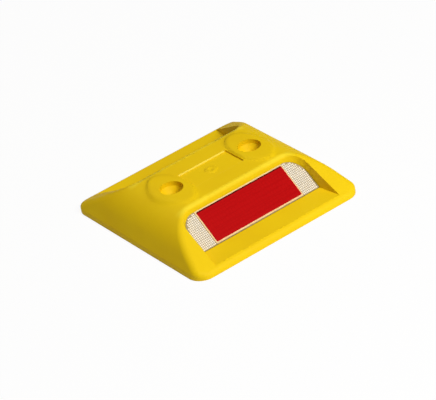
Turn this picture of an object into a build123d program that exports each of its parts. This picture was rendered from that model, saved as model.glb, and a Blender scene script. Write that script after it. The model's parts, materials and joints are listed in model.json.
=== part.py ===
"""Two-way reflective road stud: a yellow moulded body that is screwed down through two holes,
with a prismatic reflector bonded into a pocket at each end.

Millimetres. X runs across the stud, Y along the traffic, Z up, origin at the middle of the base.
"""

import os
from math import cos, floor, radians, sin, tan

from build123d import *

# Body
width = 100.0
length = 102.0
plateau_height = 19.2
corner_radius = 8.0
side_skirt = 2.4  # upright foot of the flanks
end_skirt = 2.5  # upright foot of the front and rear ramps
skirt_round = 3.0
flank_angle = 60.0
shoulder_radius = 23.5  # round between a flank and the plateau
crest = 18.4  # plateau edge, from the middle
ramp_round = 4.0  # soft crease round the ramps

# Reflector pockets
cheek_at_foot = 11.7  # from the side of the base to the pocket
cheek_at_head = 15.7
brow_land = 0.8  # strip of ramp between the plateau and the pocket
head_radius = 8.0  # pocket's upper corners
pocket_draft = 8.0
ledge_height = 3.7
ledge_depth = 15.3  # from the end of the base to the lens
lens_angle = 36.6
lens_thickness = 1.6
backing_thickness = 0.5
bond_thickness = 0.4
bond_width = 3.0
pocket_clearance = 0.2

# Red sheet on its pale carrier
sheet_side_margin = 7.6  # bare lens on each side of the carrier
sheet_border = 0.7
sheet_foot_margin = 0.55
sheet_head_margin = 0.35
sheet_corner = 0.6
carrier_thickness = 0.4
sheet_thickness = 0.3

# Screw holes, each in a low oval pad
hole_spacing = 48.0
hole_radius = 3.0
head_bore_radius = 5.85
head_bore_depth = 2.4  # upright mouth above the cone
seat_angle = 90.0  # cone that takes a screw's head
pad_half_width = 9.4
pad_half_length = 16.4
pad_rise = 0.8
pad_run = 1.2  # how far a pad's side runs out for each millimetre down
pad_root = 4.0  # how deep a pad starts, so that it meets the shoulder as well

# Bare recessed panel between the holes
panel_width = 29.4
panel_length = 15.2
panel_depth = 0.9
panel_corner = 0.8

# Ribbed underside
wall = 2.6
rib = 2.0
cell = 8.2
cell_corner = 1.0
spine = 3.0  # rib across the middle, through both screw tubes

half_width = width / 2
half_length = length / 2
pad_top = plateau_height + pad_rise
overrun = ledge_height  # how far a cutting shape runs past what it cuts
hole_places = [(-hole_spacing / 2, 0), (hole_spacing / 2, 0)]

# The lens plane rises from the ledge, and its own frame has x across, y up the slope, z outwards.
lens_foot = half_length - ledge_depth
lens_out = Vector(0, -sin(radians(lens_angle)), cos(radians(lens_angle)))
lens_plane = Plane(origin=(0, -lens_foot, ledge_height), x_dir=(1, 0, 0), z_dir=lens_out)
lens_rise = tan(radians(lens_angle))
draft = tan(radians(pocket_draft))
seat_depth = lens_thickness + backing_thickness + bond_thickness

# The brow leans with the draft, so the slope up to it follows from where the two meet.
brow_edge = crest + brow_land
brow_foot = brow_edge + (plateau_height - ledge_height - lens_foot * lens_rise) * draft
lens_head = brow_foot / (1 - lens_rise * draft)
lens_slope = (lens_foot - lens_head) / cos(radians(lens_angle))


def flank_section(sketch, base=0.0, lift=0.0):
    """Draw the section across the stud: leaning flanks and round shoulders."""
    lean = 1 / tan(radians(flank_angle))
    foot = half_width + (side_skirt + lift - base) * lean
    shoulder = half_width + (side_skirt - plateau_height) * lean
    top = plateau_height + lift
    Polygon((-foot, base), (foot, base), (shoulder, top), (-shoulder, top), align=None)
    fillet(sketch.vertices().group_by(Axis.Y)[-1], shoulder_radius)


def pocket_plug(inset=0.0):
    """Loft the drafted inside of the front pocket, from the base to above the plateau."""
    side_lean = (cheek_at_head - cheek_at_foot) / (half_length - crest)
    outlines = []
    for level in (0, pad_top):
        grow = (level - ledge_height) * draft - inset
        head = brow_edge + (plateau_height - level) * draft + inset
        mouth = half_length + overrun
        mouth_half = half_width - cheek_at_foot + overrun * side_lean + grow
        head_half = half_width - cheek_at_foot - (half_length - head) * side_lean + grow
        with BuildSketch(Plane.XY.offset(level)) as outline:
            Polygon(
                (-mouth_half, -mouth), (mouth_half, -mouth), (head_half, -head), (-head_half, -head),
                align=None,
            )
            fillet(outline.vertices().group_by(Axis.Y)[-1], head_radius + grow)
        outlines.append(outline.sketch.face())
    loft(outlines, ruled=True)


def reflector_layer(depth, thickness, inset=pocket_clearance):
    """Slice the plug into a plate whose outer face lies at depth under the lens plane."""
    pocket_plug(inset)
    with BuildSketch(lens_plane.offset(-depth - thickness)) as layer:
        with Locations((0, inset)):
            Rectangle(width, length, align=(Align.CENTER, Align.MIN))
    extrude(layer.sketch, amount=thickness, mode=Mode.INTERSECT)


def slope_point(up, out):
    """Y and Z of a point on the lens plane's own axes."""
    place = lens_plane.from_local_coords(Vector(0, up, out))
    return (place.Y, place.Z)


# What the front pocket takes out of the body: the ledge, and the stepped seat of the reflector.
seat_foot = slope_point(0, -seat_depth)
seat_top = (seat_foot[0] + (pad_top - seat_foot[1]) / lens_rise, pad_top)
with BuildPart() as front_pocket:
    pocket_plug()
    with BuildSketch(Plane.YZ):
        mouth = -half_length - overrun
        Polygon(
            (mouth, ledge_height), (-lens_foot, ledge_height), seat_foot, seat_top, (mouth, pad_top),
            align=None,
        )
    extrude(amount=half_width, both=True, mode=Mode.INTERSECT)

# Low oval pads that follow the shoulders and carry the screw holes.
with BuildPart() as pads:
    for level in (plateau_height - pad_root, pad_top + pad_rise):
        grow = (plateau_height - level) * pad_run
        with BuildSketch(Plane.XY.offset(level)):
            with Locations(hole_places[0]):
                Ellipse(pad_half_width + grow, pad_half_length + grow)
    loft(ruled=True)
    with BuildSketch(Plane.XZ) as lifted:
        flank_section(lifted, lift=pad_rise)
    extrude(amount=half_length, both=True, mode=Mode.INTERSECT)
    mirror(about=Plane.YZ)

# Slots between the ribs of the underside, roofed by walls under the top, flanks and pockets.
roof = plateau_height - panel_depth - wall
under_seat = slope_point(0, -seat_depth - wall)
slot_end = -under_seat[0] + under_seat[1] / lens_rise
slot = slot_end - spine / 2
columns = floor((width - 2 * wall + rib) / (cell + rib))
with BuildPart() as hollows:
    with BuildSketch():
        with GridLocations(cell + rib, slot + spine, columns, 2):
            RectangleRounded(cell, slot, cell_corner)
    extrude(amount=plateau_height)
    with BuildSketch(Plane.XZ) as inner:
        flank_section(inner, base=-wall)
        offset(amount=-wall, kind=Kind.INTERSECTION)
    extrude(amount=half_length, both=True, mode=Mode.INTERSECT)
    with BuildSketch(Plane.YZ):
        roof_end = slot_end - roof / lens_rise
        Polygon((-slot_end, 0), (slot_end, 0), (roof_end, roof), (-roof_end, roof), align=None)
    extrude(amount=half_width, both=True, mode=Mode.INTERSECT)
    with Locations(*hole_places):
        Cylinder(head_bore_radius + wall, 2 * pad_top, mode=Mode.SUBTRACT)

with BuildPart() as body_shell:
    with BuildSketch(Plane.XZ) as across:
        flank_section(across)
    extrude(amount=length, both=True)
    with BuildSketch(Plane.YZ):
        ramp_run = (half_length - crest) * plateau_height / (plateau_height - end_skirt)
        foot = crest + ramp_run
        Polygon((-foot, 0), (foot, 0), (crest, plateau_height), (-crest, plateau_height), align=None)
    extrude(amount=width, both=True, mode=Mode.INTERSECT)

    # The creases between the ramps and the plateau and flanks are soft.
    ramps = body_shell.faces().filter_by(lambda face: abs(face.center().Y) > crest)
    fillet(ramps.edges().filter_by(lambda edge: edge.center().Z > end_skirt), ramp_round)

    # An upright skirt runs round the foot, with a soft edge above it.
    with BuildSketch():
        RectangleRounded(width, length, corner_radius)
    extrude(amount=plateau_height, mode=Mode.INTERSECT)
    skirts = body_shell.faces().filter_by(lambda face: abs(face.normal_at().Z) < draft / 2)
    skirt_edges = skirts.edges().filter_by(Axis.Z, reverse=True)
    fillet(skirt_edges.filter_by(lambda edge: edge.center().Z > side_skirt / 2), skirt_round)

    add(pads.part)
    add(front_pocket.part, mode=Mode.SUBTRACT)
    mirror(front_pocket.part, about=Plane.XZ, mode=Mode.SUBTRACT)
    add(hollows.part, mode=Mode.SUBTRACT)
    with BuildSketch(Plane.XY.offset(plateau_height)):
        RectangleRounded(panel_width, panel_length, panel_corner)
    extrude(amount=-panel_depth, mode=Mode.SUBTRACT)
    with Locations(*[(x, y, pad_top - head_bore_depth) for x, y in hole_places]):
        CounterSinkHole(hole_radius, head_bore_radius, counter_sink_angle=seat_angle)

with BuildPart() as front_lens:
    reflector_layer(0, lens_thickness)

with BuildPart() as front_lens_backing:
    reflector_layer(lens_thickness, backing_thickness)

# The bond is a bead round the back of the reflector, with the middle left open.
bond_depth = lens_thickness + backing_thickness
with BuildPart() as bond_window:
    reflector_layer(bond_depth, bond_thickness, inset=pocket_clearance + bond_width)
with BuildPart() as front_lens_bond:
    reflector_layer(bond_depth, bond_thickness)
    add(bond_window.part, mode=Mode.SUBTRACT)

# The carrier is as tall as the lens, and its border shows all round the red sheet.
carrier_width = width - 2 * (cheek_at_head + sheet_side_margin)
carrier_height = lens_slope - sheet_foot_margin - sheet_head_margin
carrier_middle = sheet_foot_margin + carrier_height / 2
with BuildPart() as front_sheet_carrier:
    with BuildSketch(lens_plane):
        with Locations((0, carrier_middle)):
            RectangleRounded(carrier_width, carrier_height, sheet_corner)
    extrude(amount=carrier_thickness)

with BuildPart() as front_red_sheet:
    with BuildSketch(lens_plane.offset(carrier_thickness)):
        with Locations((0, carrier_middle)):
            RectangleRounded(
                carrier_width - 2 * sheet_border, carrier_height - 2 * sheet_border, sheet_corner
            )
    extrude(amount=sheet_thickness)

# The rear reflector is the front one turned to the other end of the body.
with BuildPart() as rear_lens:
    mirror(front_lens.part, about=Plane.XZ)
with BuildPart() as rear_lens_backing:
    mirror(front_lens_backing.part, about=Plane.XZ)
with BuildPart() as rear_lens_bond:
    mirror(front_lens_bond.part, about=Plane.XZ)
with BuildPart() as rear_sheet_carrier:
    mirror(front_sheet_carrier.part, about=Plane.XZ)
with BuildPart() as rear_red_sheet:
    mirror(front_red_sheet.part, about=Plane.XZ)

pieces = {
    "body_shell": body_shell,
    "front_lens": front_lens,
    "front_lens_backing": front_lens_backing,
    "front_lens_bond": front_lens_bond,
    "front_sheet_carrier": front_sheet_carrier,
    "front_red_sheet": front_red_sheet,
    "rear_lens": rear_lens,
    "rear_lens_backing": rear_lens_backing,
    "rear_lens_bond": rear_lens_bond,
    "rear_sheet_carrier": rear_sheet_carrier,
    "rear_red_sheet": rear_red_sheet,
}
os.makedirs("parts", exist_ok=True)
for name, piece in pieces.items():
    piece.part.label = name
    export_step(piece.part, f"parts/{name}.step")
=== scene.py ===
# %% [markdown]
# # A reflective road stud
#
# The stud is one yellow moulding that is screwed to the road, with a prismatic reflector
# bonded into a sloped pocket at each end and a red reflective sheet on each reflector.
# The solids come from the CAD frame and keep their shape. Blender adds what CAD leaves out:
# the grain of the moulded plastic, the tiny prisms of the lens, the cells of the red sheet,
# and a studio with the photograph's camera.

import json
from math import atan2, cos, pi, radians, sin

import bmesh
import bpy
from mathutils import Matrix, Vector


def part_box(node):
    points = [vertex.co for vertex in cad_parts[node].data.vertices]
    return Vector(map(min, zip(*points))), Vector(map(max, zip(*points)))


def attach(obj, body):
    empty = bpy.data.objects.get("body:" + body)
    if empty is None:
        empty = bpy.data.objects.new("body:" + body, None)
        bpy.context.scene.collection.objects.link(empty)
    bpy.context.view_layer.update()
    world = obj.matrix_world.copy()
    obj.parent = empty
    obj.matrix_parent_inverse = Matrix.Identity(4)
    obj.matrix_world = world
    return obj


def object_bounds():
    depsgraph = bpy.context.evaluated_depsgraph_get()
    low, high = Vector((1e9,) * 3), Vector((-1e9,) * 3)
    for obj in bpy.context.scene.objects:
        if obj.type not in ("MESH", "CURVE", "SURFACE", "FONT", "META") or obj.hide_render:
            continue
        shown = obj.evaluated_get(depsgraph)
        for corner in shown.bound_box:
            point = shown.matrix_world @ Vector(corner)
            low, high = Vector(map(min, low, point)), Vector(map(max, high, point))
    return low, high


MM = 0.001
ENDS = ("front", "rear")
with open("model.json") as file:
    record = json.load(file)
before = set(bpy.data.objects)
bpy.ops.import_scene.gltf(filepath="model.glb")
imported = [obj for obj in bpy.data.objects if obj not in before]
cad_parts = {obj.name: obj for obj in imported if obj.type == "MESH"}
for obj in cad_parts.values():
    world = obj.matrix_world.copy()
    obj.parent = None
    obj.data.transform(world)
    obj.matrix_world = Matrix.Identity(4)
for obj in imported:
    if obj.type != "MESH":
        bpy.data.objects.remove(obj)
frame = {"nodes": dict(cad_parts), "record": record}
nodes = frame["nodes"]
cad_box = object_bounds()
print("CAD box, mm:", [round(side / MM, 1) for side in cad_box[1] - cad_box[0]])

# %% [markdown]
# ## Small helpers for node trees
#
# A material here is a Principled shader with a few texture nodes in front of it. The
# helpers below only save typing: they add a node, set its values and link its sockets.
# Every pattern reads Object coordinates. The pieces sit at the origin, so those are metres
# in the stud's own frame, and a pattern of 1 mm needs a scale of 1000.


# %% Nodes and materials
def add_node(tree, kind, inputs=None, **settings):
    """Add a node, set its plain properties, then link or set its inputs."""
    node = tree.nodes.new(kind)
    for key, value in settings.items():
        setattr(node, key, value)
    for key, value in (inputs or {}).items():
        if isinstance(value, bpy.types.NodeSocket):
            tree.links.new(value, node.inputs[key])
        else:
            node.inputs[key].default_value = value
    return node


def new_material(name):
    """Start a material with one Principled shader and return it with its tree and shader."""
    material = bpy.data.materials.new(name)
    material.use_nodes = True
    tree = material.node_tree
    return material, tree, tree.nodes["Principled BSDF"]


def object_space(tree):
    """Coordinates in metres, in the stud's own frame."""
    return add_node(tree, "ShaderNodeTexCoord").outputs["Object"]


def dress(piece, material):
    """Give a piece this material alone."""
    piece.data.materials.clear()
    piece.data.materials.append(material)


print("materials start as a Principled shader in Blender", bpy.app.version_string)

# %% [markdown]
# The next helpers make the values that a pattern is built from: noise, sums, ramps and
# masks. Each returns the socket that the next node reads. Only the last one, bump, links
# straight into the shader.


# %% Values and patterns
def axes_of(tree, where):
    """The X, Y and Z of a place as sockets."""
    return add_node(tree, "ShaderNodeSeparateXYZ", {"Vector": where}).outputs


def noise(tree, where, per_mm, detail=3.0):
    """A noise value between 0 and 1 with about per_mm blobs on each millimetre."""
    inputs = {"Vector": where, "Scale": per_mm / MM, "Detail": detail}
    return add_node(tree, "ShaderNodeTexNoise", inputs).outputs["Fac"]


def maths(tree, operation, *values):
    """A Math node on sockets or plain numbers."""
    return add_node(tree, "ShaderNodeMath", dict(enumerate(values)), operation=operation).outputs["Value"]


def ramp(tree, value, stops):
    """Turn a value into a colour by a list of (place, colour)."""
    node = add_node(tree, "ShaderNodeValToRGB", {"Fac": value})
    for element, (place, colour) in zip(node.color_ramp.elements, stops):
        element.position = place
        element.color = (*colour, 1.0)
    return node.outputs["Color"]


def value_range(tree, value, low, high):
    """Stretch a value of 0 to 1 to the range low to high."""
    node = add_node(tree, "ShaderNodeMapRange", {"Value": value, "To Min": low, "To Max": high})
    return node.outputs["Result"]


def fade(tree, value, start, end):
    """0 up to start, 1 from end on, and an even slope between them."""
    node = add_node(tree, "ShaderNodeMapRange", {"Value": value, "From Min": start, "From Max": end})
    return node.outputs["Result"]


def mix_colours(tree, share, plain, other):
    """The plain colour where the share is 0, and the other one where it is 1."""
    inputs = {"Factor": share, "A": plain, "B": other}
    return add_node(tree, "ShaderNodeMix", inputs, data_type="RGBA").outputs["Result"]


def bump(tree, shader, height, depth_mm, normal=None):
    """Push the shading in and out by depth_mm, from the mesh's own normal or a given one."""
    node = add_node(tree, "ShaderNodeBump", {"Height": height, "Distance": depth_mm * MM})
    if normal:
        tree.links.new(normal, node.inputs["Normal"])
    tree.links.new(node.outputs["Normal"], shader.inputs["Normal"])


print("pattern scale for 1 mm:", round(1 / MM))

# %% [markdown]
# ## Yellow moulded plastic
#
# The body is injection moulded in one bright yellow plastic with a satin skin. Close up
# such a skin has a very fine grain from the mould, soft waves where the plastic shrank,
# and small changes of colour where the melt flowed. One flat colour would look like
# paint on a screen, so noises at three scales drive colour, gloss and bump.
#
# The low pads round the screw holes run out softly into the top of the stud. A Bevel node
# rounds the shading of an edge without a change to the mesh. It is mixed in by an oval
# mask round each pad and nowhere else: at a crest that is seen edge-on, a Bevel node draws
# a dark line that no real edge has.
#
# The rear wall of the recessed panel shows as a pale line in the photograph, and the crest
# over the pocket as a pale band, where they catch the light. Two more masks paint these
# highlights into the colour: a paler yellow on the panel's front and rear walls and on the
# crests at both ends.


# %% Soft pad edges
PAD_OVAL = (10.5 * MM, 17.5 * MM, 1.0)
EDGE_MIDDLE, EDGE_BAND = 0.98, 0.28  # in shares of the oval
PANEL_END = 15.6 * MM
EDGE_ROUND = 3.5 * MM
EDGE_SAMPLES = 8

screw_holes = next(mount for mount in frame["record"]["mounts"] if mount["name"] == "screw_holes")
hole_offset = screw_holes["dims"]["spacing_x_mm"] / 2 * MM
print("pads stand this far from the middle, mm:", round(hole_offset / MM, 1))


def soft_pad_normal(tree, where):
    """The mesh's normal, rounded in a band along the oval outline of both pads."""
    spot = axes_of(tree, where)
    aside = maths(tree, "ABSOLUTE", spot["X"])
    across = maths(tree, "SUBTRACT", aside, hole_offset)
    from_hole = add_node(tree, "ShaderNodeCombineXYZ", {"X": across, "Y": spot["Y"]}).outputs["Vector"]
    oval = add_node(tree, "ShaderNodeVectorMath", {0: from_hole, 1: PAD_OVAL}, operation="DIVIDE")
    reach = add_node(tree, "ShaderNodeVectorMath", {0: oval.outputs["Vector"]}, operation="LENGTH")
    band = maths(tree, "COMPARE", reach.outputs["Value"], EDGE_MIDDLE, EDGE_BAND)
    mask = maths(tree, "MULTIPLY", band, maths(tree, "GREATER_THAN", aside, PANEL_END))
    rounded = add_node(tree, "ShaderNodeBevel", {"Radius": EDGE_ROUND}, samples=EDGE_SAMPLES)
    plain = add_node(tree, "ShaderNodeNewGeometry")
    normals = {"Factor": mask, "A": plain.outputs["Normal"], "B": rounded.outputs["Normal"]}
    return add_node(tree, "ShaderNodeMix", normals, data_type="VECTOR").outputs["Result"]


# %% Panel walls and crests, where highlights are painted
PANEL_HALF_WIDTH, PANEL_HALF_LENGTH = 14.7 * MM, 7.6 * MM
PANEL_FLOOR = 18.3 * MM
WALL_BAND = 0.03 * MM
CREST_START, CREST_FULL = 16.8 * MM, 18.6 * MM
CREST_FOOT, CREST_TOP = 17.2 * MM, 18.4 * MM


def panel_wall_highlight_mask(tree, where):
    """1 on the panel's front and rear walls, where a highlight is painted, 0 elsewhere."""
    spot = axes_of(tree, where)
    band = maths(tree, "COMPARE", maths(tree, "ABSOLUTE", spot["Y"]), PANEL_HALF_LENGTH, WALL_BAND)
    between = maths(tree, "LESS_THAN", maths(tree, "ABSOLUTE", spot["X"]), PANEL_HALF_WIDTH)
    high = maths(tree, "GREATER_THAN", spot["Z"], PANEL_FLOOR - WALL_BAND)
    return maths(tree, "MULTIPLY", band, maths(tree, "MULTIPLY", between, high))


def crest_highlight_mask(tree, where):
    """1 on the crests over both pockets, where a highlight is painted, 0 elsewhere, with a soft edge."""
    spot = axes_of(tree, where)
    out = fade(tree, maths(tree, "ABSOLUTE", spot["Y"]), CREST_START, CREST_FULL)
    return maths(tree, "MULTIPLY", out, fade(tree, spot["Z"], CREST_FOOT, CREST_TOP))


print("panel walls stand this far apart, mm:", round(2 * PANEL_HALF_LENGTH / MM, 1))

# %% Body plastic
YELLOW = (0.822, 0.568, 0.001)
YELLOW_DEEP = (0.792, 0.528, 0.001)
# The two pale yellows below are painted highlights on the panel walls and the crests.
WALL_PAINTED_HIGHLIGHT = (0.86, 0.72, 0.10)
CREST_PAINTED_HIGHLIGHT = (0.87, 0.655, 0.02)
SKIN_ROUGHNESS = (0.58, 0.70)
SKIN_SPECULAR = 0.15
SKIN_DEPTH_MM = 0.02
SHRINK_SHARE = 3.0  # the slow waves count this many times the grain

yellow_plastic, tree, shader = new_material("yellow_moulded_plastic")
where = object_space(tree)
flow = noise(tree, where, per_mm=0.05, detail=4.0)
shrink = noise(tree, where, per_mm=0.18, detail=1.0)
grain = noise(tree, where, per_mm=2.5, detail=2.0)
skin = maths(tree, "MULTIPLY_ADD", shrink, SHRINK_SHARE, grain)
body_colour = ramp(tree, flow, [(0.3, YELLOW_DEEP), (0.7, YELLOW)])
# Painted highlight on the panel's front and rear walls.
body_colour = mix_colours(tree, panel_wall_highlight_mask(tree, where), body_colour, (*WALL_PAINTED_HIGHLIGHT, 1.0))
# Painted highlight on the crests at both ends.
body_colour = mix_colours(tree, crest_highlight_mask(tree, where), body_colour, (*CREST_PAINTED_HIGHLIGHT, 1.0))
tree.links.new(body_colour, shader.inputs["Base Color"])
tree.links.new(value_range(tree, grain, *SKIN_ROUGHNESS), shader.inputs["Roughness"])
bump(tree, shader, skin, SKIN_DEPTH_MM, normal=soft_pad_normal(tree, where))
shader.inputs["Specular IOR Level"].default_value = SKIN_SPECULAR
dress(nodes["body_shell"], yellow_plastic)
print("body dressed in", yellow_plastic.name)

# %% [markdown]
# ## Red sheet and its pale carrier
#
# The red sheet is a retroreflective film. Under its smooth face lie tiny sealed cells,
# which show as a faint net when the light is right. A Voronoi texture gives such cells.
# The film itself is smooth, so it is deep red from where no lamp is mirrored in it. Along
# its upper edge, close under the brow, a thin band of painted shade stands for the brow's
# shadow. Both sheets stand at the same height, so the height alone says where that band is.

# %% Reflective films
RED = (0.44, 0.002, 0.003)
RED_SEAL = (0.40, 0.001, 0.002)
# The near-black red below is painted shade under the brow.
PAINTED_BROW_SHADE = (0.05, 0.003, 0.003)
SHADE_BAND_HEIGHT = 0.24 * MM
CREAM = (0.88, 0.64, 0.32)
CREAM_SHADE = (0.80, 0.55, 0.25)
CELLS_PER_MM = 0.55
CELL_RANDOMNESS = 0.25
CELL_DEPTH_MM = 0.004
FIBRE_DEPTH_MM = 0.01
RED_ROUGHNESS, CREAM_ROUGHNESS = 0.25, 0.4
RED_SPECULAR = 0.12

red_film, tree, shader = new_material("red_reflective_film")
where = object_space(tree)
cells = add_node(
    tree,
    "ShaderNodeTexVoronoi",
    {"Vector": where, "Scale": CELLS_PER_MM / MM, "Randomness": CELL_RANDOMNESS},
    feature="DISTANCE_TO_EDGE",
)
seal = cells.outputs["Distance"]
net = ramp(tree, seal, [(0.02, RED_SEAL), (0.12, RED)])
sheet_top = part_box("front_red_sheet")[1].z
# A thin band of painted shade along the top edge of the red sheet, under the brow.
below_shade_band = fade(tree, axes_of(tree, where)["Z"], sheet_top - SHADE_BAND_HEIGHT, sheet_top - 2 * SHADE_BAND_HEIGHT)
film = mix_colours(tree, below_shade_band, (*PAINTED_BROW_SHADE, 1.0), net)
tree.links.new(film, shader.inputs["Base Color"])
bump(tree, shader, seal, CELL_DEPTH_MM)
shader.inputs["Roughness"].default_value = RED_ROUGHNESS
shader.inputs["Specular IOR Level"].default_value = RED_SPECULAR

cream_film, tree, shader = new_material("cream_carrier_film")
fibre = noise(tree, object_space(tree), per_mm=0.6)
tree.links.new(ramp(tree, fibre, [(0.35, CREAM_SHADE), (0.65, CREAM)]), shader.inputs["Base Color"])
bump(tree, shader, fibre, FIBRE_DEPTH_MM)
shader.inputs["Roughness"].default_value = CREAM_ROUGHNESS

for end in ENDS:
    dress(nodes[f"{end}_red_sheet"], red_film)
    dress(nodes[f"{end}_sheet_carrier"], cream_film)
# The seam in this print is the band of painted shade under the brow.
print("films dressed, seam under a height of, mm:", round(sheet_top / MM, 2))

# %% [markdown]
# ## Clear lens, white backing and bond
#
# Behind the lens lies a white plate, and a bead of adhesive holds both in the pocket.
# They hardly show, but each is a piece of its own with its own finish. The lens is clear
# acrylic over white, in a yellow pocket, so to the eye it is a warm and bright grey white.

# %% Lens finishes
LENS_LIGHT = (0.44, 0.37, 0.23)
LENS_SHADE = (0.34, 0.28, 0.16)
LENS_ROUGHNESS = (0.08, 0.16)
ACRYLIC_IOR = 1.49
BACKING_LIGHT, BACKING_SHADE = (0.80, 0.80, 0.78), (0.70, 0.70, 0.67)
BACKING_ROUGHNESS = 0.45
BOND_LIGHT, BOND_SHADE = (0.42, 0.36, 0.24), (0.30, 0.25, 0.15)
BOND_ROUGHNESS = 0.6
BOND_DEPTH_MM = 0.05

lens_acrylic, tree, shader = new_material("clear_lens_acrylic")
cloud = noise(tree, object_space(tree), per_mm=0.9, detail=2.0)
tree.links.new(ramp(tree, cloud, [(0.35, LENS_SHADE), (0.65, LENS_LIGHT)]), shader.inputs["Base Color"])
tree.links.new(value_range(tree, cloud, *LENS_ROUGHNESS), shader.inputs["Roughness"])
shader.inputs["IOR"].default_value = ACRYLIC_IOR

backing_plastic, tree, shader = new_material("white_backing_plastic")
flow = noise(tree, object_space(tree), per_mm=0.3)
tree.links.new(ramp(tree, flow, [(0.3, BACKING_SHADE), (0.7, BACKING_LIGHT)]), shader.inputs["Base Color"])
shader.inputs["Roughness"].default_value = BACKING_ROUGHNESS

bond_adhesive, tree, shader = new_material("cured_bond_adhesive")
lumps = noise(tree, object_space(tree), per_mm=0.8)
tree.links.new(ramp(tree, lumps, [(0.3, BOND_SHADE), (0.7, BOND_LIGHT)]), shader.inputs["Base Color"])
bump(tree, shader, lumps, BOND_DEPTH_MM)
shader.inputs["Roughness"].default_value = BOND_ROUGHNESS

for end in ENDS:
    dress(nodes[f"{end}_lens"], lens_acrylic)
    dress(nodes[f"{end}_lens_backing"], backing_plastic)
    dress(nodes[f"{end}_lens_bond"], bond_adhesive)
print("lenses dressed")

# %% [markdown]
# ## The prisms of the lens
#
# A reflector throws light back because it is full of tiny prisms in even rows. They could
# be a bump texture, but their facets flash one by one, and only real facets do that.
# There are hundreds of equal ones, so Geometry Nodes make them: a grid is laid on the lens,
# the part that misses the lens or lies under the sheet's carrier is deleted, and every cell
# that is left is drawn up into a low pyramid. Two ray casts ask which points to delete, so
# the field follows the real outline of the CAD lens.

# %% Prism field tree
prism_tree = bpy.data.node_groups.new("prism_field", "GeometryNodeTree")
PRISM_INPUTS = {
    "Lens": "NodeSocketObject",
    "Carrier": "NodeSocketObject",
    "Middle": "NodeSocketVector",
    "Lean": "NodeSocketVector",
    "Width": "NodeSocketFloat",
    "Rise": "NodeSocketFloat",
    "Columns": "NodeSocketInt",
    "Rows": "NodeSocketInt",
    "Sole": "NodeSocketFloat",
    "Height": "NodeSocketFloat",
    "Tip": "NodeSocketFloat",
    "Acrylic": "NodeSocketMaterial",
}
prism_sockets = {
    name: prism_tree.interface.new_socket(name, in_out="INPUT", socket_type=kind).identifier
    for name, kind in PRISM_INPUTS.items()
}
prism_tree.interface.new_socket("Geometry", in_out="OUTPUT", socket_type="NodeSocketGeometry")
given = add_node(prism_tree, "NodeGroupInput").outputs
print("prism field inputs:", ", ".join(prism_sockets))


# %% [markdown]
# The grid leans with the lens and lies on its face. From a little above each of its points
# a ray goes straight at the lens. A point stays only where the ray meets the lens and
# misses the carrier, and IMPLY is the one step of logic that says the opposite.

# %% Lay the grid on the lens and cut it to the bare lens
REACH = 1.0 * MM

grid = add_node(
    prism_tree,
    "GeometryNodeMeshGrid",
    {
        "Size X": given["Width"],
        "Size Y": given["Rise"],
        "Vertices X": given["Columns"],
        "Vertices Y": given["Rows"],
    },
)
turn = add_node(prism_tree, "FunctionNodeEulerToRotation", {"Euler": given["Lean"]})
laid = add_node(
    prism_tree,
    "GeometryNodeTransform",
    {
        "Geometry": grid.outputs["Mesh"],
        "Translation": given["Middle"],
        "Rotation": turn.outputs["Rotation"],
    },
)
outwards = add_node(prism_tree, "GeometryNodeInputNormal").outputs["Normal"]
place = add_node(prism_tree, "GeometryNodeInputPosition").outputs["Position"]
above = add_node(
    prism_tree,
    "ShaderNodeVectorMath",
    {0: outwards, 1: (REACH, REACH, REACH), 2: place},
    operation="MULTIPLY_ADD",
)
inwards = add_node(prism_tree, "ShaderNodeVectorMath", {0: outwards, "Scale": -1.0}, operation="SCALE")


def is_over(piece_socket):
    """Whether a point of the grid lies over a piece, by a ray cast straight at the lens."""
    piece = add_node(prism_tree, "GeometryNodeObjectInfo", {"Object": piece_socket})
    ray = add_node(
        prism_tree,
        "GeometryNodeRaycast",
        {
            "Target Geometry": piece.outputs["Geometry"],
            "Source Position": above.outputs["Vector"],
            "Ray Direction": inwards.outputs["Vector"],
            "Ray Length": 2 * REACH,
        },
    )
    return ray.outputs["Is Hit"]


unwanted = add_node(
    prism_tree,
    "FunctionNodeBooleanMath",
    {0: is_over(given["Lens"]), 1: is_over(given["Carrier"])},
    operation="IMPLY",
)
bare = add_node(
    prism_tree,
    "GeometryNodeDeleteGeometry",
    {"Geometry": laid.outputs["Geometry"], "Selection": unwanted.outputs["Boolean"]},
    domain="POINT",
)
print("grid nodes:", len(prism_tree.nodes))

# %% [markdown]
# The bare cells first get a thin common sole, and then each cell is extruded by itself and
# its top is shrunk to a small tip. The points of the tips are marked, so that the material
# can tell a tip from a valley. The underside of the sole closes the mesh.

# %% Draw the cells up into prisms
MERGE_DISTANCE = 0.001 * MM

sole = add_node(
    prism_tree,
    "GeometryNodeExtrudeMesh",
    {"Mesh": bare.outputs["Geometry"], "Offset Scale": given["Sole"], "Individual": False},
)
drawn = add_node(
    prism_tree,
    "GeometryNodeExtrudeMesh",
    {
        "Mesh": sole.outputs["Mesh"],
        "Selection": sole.outputs["Top"],
        "Offset Scale": given["Height"],
        "Individual": True,
    },
)
pointed = add_node(
    prism_tree,
    "GeometryNodeScaleElements",
    {"Geometry": drawn.outputs["Mesh"], "Selection": drawn.outputs["Top"], "Scale": given["Tip"]},
)
marked = add_node(
    prism_tree,
    "GeometryNodeStoreNamedAttribute",
    {"Geometry": pointed.outputs["Geometry"], "Name": "prism_tip", "Value": drawn.outputs["Top"]},
    data_type="FLOAT",
    domain="POINT",
)
underside = add_node(prism_tree, "GeometryNodeFlipFaces", {"Mesh": bare.outputs["Geometry"]})
both = add_node(prism_tree, "GeometryNodeJoinGeometry")
prism_tree.links.new(marked.outputs["Geometry"], both.inputs["Geometry"])
prism_tree.links.new(underside.outputs["Mesh"], both.inputs["Geometry"])
closed = add_node(
    prism_tree,
    "GeometryNodeMergeByDistance",
    {"Geometry": both.outputs["Geometry"], "Distance": MERGE_DISTANCE},
)
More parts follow.
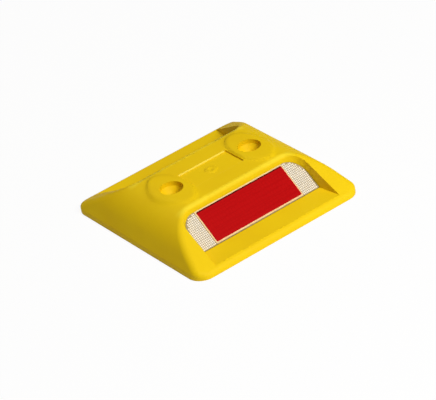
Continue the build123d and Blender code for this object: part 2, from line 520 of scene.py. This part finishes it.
flat = add_node(
    prism_tree, "GeometryNodeSetShadeSmooth", {"Geometry": closed.outputs["Geometry"], "Shade Smooth": False}
)
real = add_node(prism_tree, "GeometryNodeRealizeInstances", {"Geometry": flat.outputs["Geometry"]})
finished = add_node(
    prism_tree,
    "GeometryNodeSetMaterial",
    {"Geometry": real.outputs["Geometry"], "Material": given["Acrylic"]},
)
add_node(prism_tree, "NodeGroupOutput", {"Geometry": finished.outputs["Geometry"]})
print("prism field nodes:", len(prism_tree.nodes))


# %% [markdown]
# A prism throws the light back through its tip, and hardly any comes out of the valleys
# between the prisms. So the colour of the facets is painted light: a painted glint at the
# bright tip that fades to painted shade in the dull valley. The field's middle, lean and
# size are read from the CAD lens, so it lies on the lens exactly.

# %% Prism finish and field
TIP_PAINTED_GLINT = (0.95, 0.88, 0.76)
VALLEY_PAINTED_SHADE = (0.37, 0.31, 0.20)
PITCH_ACROSS, PITCH_UP = 0.95 * MM, 1.05 * MM
PRISM_HEIGHT = 0.25 * MM
PRISM_TIP = 0.5
SOLE = 0.04 * MM
CARRIER_GAP = 0.15 * MM
FACET_ROUGHNESS = (0.06, 0.2)
FACE_TOLERANCE = 0.01 * MM
UPWARD = 0.5  # least rise of a normal that looks up

prism_acrylic, tree, shader = new_material("prism_facet_acrylic")
tip = add_node(tree, "ShaderNodeAttribute", attribute_name="prism_tip").outputs["Fac"]
haze = noise(tree, object_space(tree), per_mm=0.5, detail=1.0)
# Painted light: a painted glint at each tip, fading to painted shade in the valleys.
tree.links.new(ramp(tree, tip, [(0.1, VALLEY_PAINTED_SHADE), (0.9, TIP_PAINTED_GLINT)]), shader.inputs["Base Color"])
tree.links.new(value_range(tree, haze, *FACET_ROUGHNESS), shader.inputs["Roughness"])
shader.inputs["IOR"].default_value = ACRYLIC_IOR


def outer_face(plate):
    """Middle, outward direction and slope length of a sloped plate's outer face."""
    upward = [face for face in plate.data.polygons if face.normal.z > UPWARD]
    out = max(upward, key=lambda face: face.area).normal.copy()
    along = out.cross(Vector((1, 0, 0)))
    corners = [vertex.co for vertex in plate.data.vertices]
    level = max(corner.dot(out) for corner in corners)
    places = [corner.dot(along) for corner in corners if level - corner.dot(out) < FACE_TOLERANCE]
    low, high = min(places), max(places)
    return out * level + along * (low + high) / 2, out, high - low


def prism_field(end):
    """Make the prisms of one lens as a plain mesh."""
    lens, carrier = nodes[f"{end}_lens"], nodes[f"{end}_sheet_carrier"]
    middle, out, slope = outer_face(lens)
    first_column = carrier.dimensions.x / 2 + CARRIER_GAP
    pitch = first_column / round(first_column / PITCH_ACROSS)
    columns = 2 * int(lens.dimensions.x / 2 / pitch)
    rows = int(slope / PITCH_UP)
    field = bpy.data.objects.new(f"{end}_lens_prisms", bpy.data.meshes.new(f"{end}_lens_prisms"))
    bpy.context.scene.collection.objects.link(field)
    modifier = field.modifiers.new("prisms", "NODES")
    modifier.node_group = prism_tree
    values = {
        "Lens": lens,
        "Carrier": carrier,
        "Middle": middle,
        "Lean": (atan2(-out.y, out.z), 0.0, 0.0),
        "Width": columns * pitch,
        "Rise": rows * PITCH_UP,
        "Columns": columns + 1,
        "Rows": rows + 1,
        "Sole": SOLE,
        "Height": PRISM_HEIGHT,
        "Tip": PRISM_TIP,
        "Acrylic": prism_acrylic,
    }
    for name, value in values.items():
        modifier[prism_sockets[name]] = value
    ready = field.evaluated_get(bpy.context.evaluated_depsgraph_get())
    field.data = bpy.data.meshes.new_from_object(ready)
    field.modifiers.clear()
    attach(field, "root")
    print(field.name, "faces:", len(field.data.polygons))


for end in ENDS:
    prism_field(end)

# %% [markdown]
# ## A plain button in the panel
#
# A plain dished button stands in the middle of the recessed panel, as a mould leaves where
# the plastic flows in. A squashed ball would do from afar, but not for the dish. So its
# section is a short list of radius and height, and a spin turns it round the middle.

# %% Gate button
BUTTON_SECTION_MM = [
    (0.0, 0.06),
    (1.1, 0.08),
    (1.6, 0.28),
    (2.0, 0.32),
    (2.5, 0.26),
    (3.3, 0.05),
    (3.5, -0.05),
]
BUTTON_STEPS = 48

button_mesh = bpy.data.meshes.new("panel_gate_button")
shape = bmesh.new()
ring = [shape.verts.new((radius * MM, 0, PANEL_FLOOR + height * MM)) for radius, height in BUTTON_SECTION_MM]
edges = [shape.edges.new(pair) for pair in zip(ring[:-1], ring[1:])]
bmesh.ops.spin(shape, geom=ring + edges, axis=(0, 0, 1), angle=2 * pi, steps=BUTTON_STEPS, use_merge=True)
bmesh.ops.remove_doubles(shape, verts=shape.verts, dist=MERGE_DISTANCE)
bmesh.ops.holes_fill(shape, edges=[edge for edge in shape.edges if edge.is_boundary])
bmesh.ops.recalc_face_normals(shape, faces=shape.faces)
for face in shape.faces:
    face.smooth = True
shape.to_mesh(button_mesh)
shape.free()
button = bpy.data.objects.new("panel_gate_button", button_mesh)
bpy.context.scene.collection.objects.link(button)
dress(button, yellow_plastic)
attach(button, "root")
print("gate button faces:", len(button_mesh.polygons))

# %% [markdown]
# ## Floor and light
#
# The photograph is a cut-out on white, with no shadow and no horizon. The floor is a plain
# plane that is almost pure white to the camera and in mirrored rays, and keeps only a breath
# of shadow. To diffuse light it is pale matt paper that brightens the flanks from below.

# %% Floor
FLOOR_SIDE = 6.0
FLOOR_GAP = 0.05 * MM
FLOOR_WHITENESS = 0.93
PAPER_PALE = (0.85, 0.85, 0.85)
PAPER_ROUGHNESS = 0.9

bpy.ops.mesh.primitive_plane_add(size=FLOOR_SIDE, location=(0, 0, cad_box[0].z - FLOOR_GAP))
studio_floor = bpy.context.object
studio_floor.name = "studio_floor"
floor_paper, tree, shader = new_material("white_floor_paper")
shader.inputs["Base Color"].default_value = (*PAPER_PALE, 1.0)
shader.inputs["Roughness"].default_value = PAPER_ROUGHNESS
white = add_node(tree, "ShaderNodeEmission", {"Color": (1, 1, 1, 1), "Strength": 1.0})
path = add_node(tree, "ShaderNodeLightPath").outputs
seen = maths(tree, "ADD", path["Is Camera Ray"], path["Is Glossy Ray"])
seen = maths(tree, "ADD", seen, path["Is Transmission Ray"])
pick = add_node(
    tree,
    "ShaderNodeMixShader",
    {
        "Fac": maths(tree, "MULTIPLY", seen, FLOOR_WHITENESS),
        1: shader.outputs["BSDF"],
        2: white.outputs["Emission"],
    },
)
tree.links.new(pick.outputs["Shader"], tree.nodes["Material Output"].inputs["Surface"])
dress(studio_floor, floor_paper)
print("floor laid")


# %% [markdown]
# A large soft box stands in front, a little to the right. It makes the brow over the
# reflector and the cones of the screw holes the brightest faces, and leaves the left flank
# the darkest. A weak one high behind keeps the rear slope from going dull, and a dim warm
# sky fills what neither of them reaches.


# %% Lights
def soft_box(name, turn, rise, distance, side, power):
    """A square area light, turned to the stud: turn from the front to the right, rise from the floor."""
    data = bpy.data.lights.new(name, "AREA")
    data.size = side
    data.energy = power
    lamp = bpy.data.objects.new(name, data)
    towards = Vector((sin(turn) * cos(rise), -cos(turn) * cos(rise), sin(rise)))
    lamp.location = towards * distance
    lamp.rotation_mode = "QUATERNION"
    lamp.rotation_quaternion = towards.to_track_quat("Z", "Y")
    bpy.context.scene.collection.objects.link(lamp)


SKY_WARM = (1.0, 0.86, 0.62)
SKY_STRENGTH = 0.13

soft_box("key_soft_box", radians(13), radians(43), distance=1.2, side=0.45, power=13.8)
soft_box("back_soft_box", radians(180), radians(60), distance=1.2, side=0.6, power=3.0)

world = bpy.data.worlds.new("pale_studio")
bpy.context.scene.world = world
world.use_nodes = True
sky = world.node_tree.nodes["Background"]
sky.inputs["Color"].default_value = (*SKY_WARM, 1.0)
sky.inputs["Strength"].default_value = SKY_STRENGTH
print("studio lit")

# %% [markdown]
# ## The photograph's camera
#
# The stud stands a little turned, and the picture itself is rolled: its uprights lean to
# the left. The camera looks down on the front left from far away with a long lens. Its
# axes are worked out from three angles, and the focal length from how many pixels wide a
# millimetre of the stud is.

# %% Camera
PICTURE_WIDTH, PICTURE_HEIGHT = 436, 400
TURN, RISE, ROLL = radians(32.2), radians(31.9), radians(-10.6)
DISTANCE = 1226.0 * MM
FOCAL_PIXELS = 2520.8
BASE_MIDDLE_PIXEL = (217.1, 201.0)
SENSOR = 36.0

back = Vector((-sin(TURN) * cos(RISE), -cos(TURN) * cos(RISE), sin(RISE)))
level_right = Vector((cos(TURN), -sin(TURN), 0))
level_up = back.cross(level_right)
right = cos(ROLL) * level_right + sin(ROLL) * level_up
up = back.cross(right)

camera_data = bpy.data.cameras.new("photo_camera")
camera_data.sensor_width = SENSOR
camera_data.lens = SENSOR * FOCAL_PIXELS / PICTURE_WIDTH
camera_data.shift_x = (PICTURE_WIDTH / 2 - BASE_MIDDLE_PIXEL[0]) / PICTURE_WIDTH
camera_data.shift_y = (BASE_MIDDLE_PIXEL[1] - PICTURE_HEIGHT / 2) / PICTURE_WIDTH
camera = bpy.data.objects.new("photo_camera", camera_data)
bpy.context.scene.collection.objects.link(camera)
axes = Matrix((right, up, back)).transposed()
camera.matrix_world = Matrix.Translation(back * DISTANCE) @ axes.to_4x4()
bpy.context.scene.camera = camera
bpy.context.scene.view_settings.view_transform = "Standard"
print("lens, mm:", round(camera_data.lens, 1))
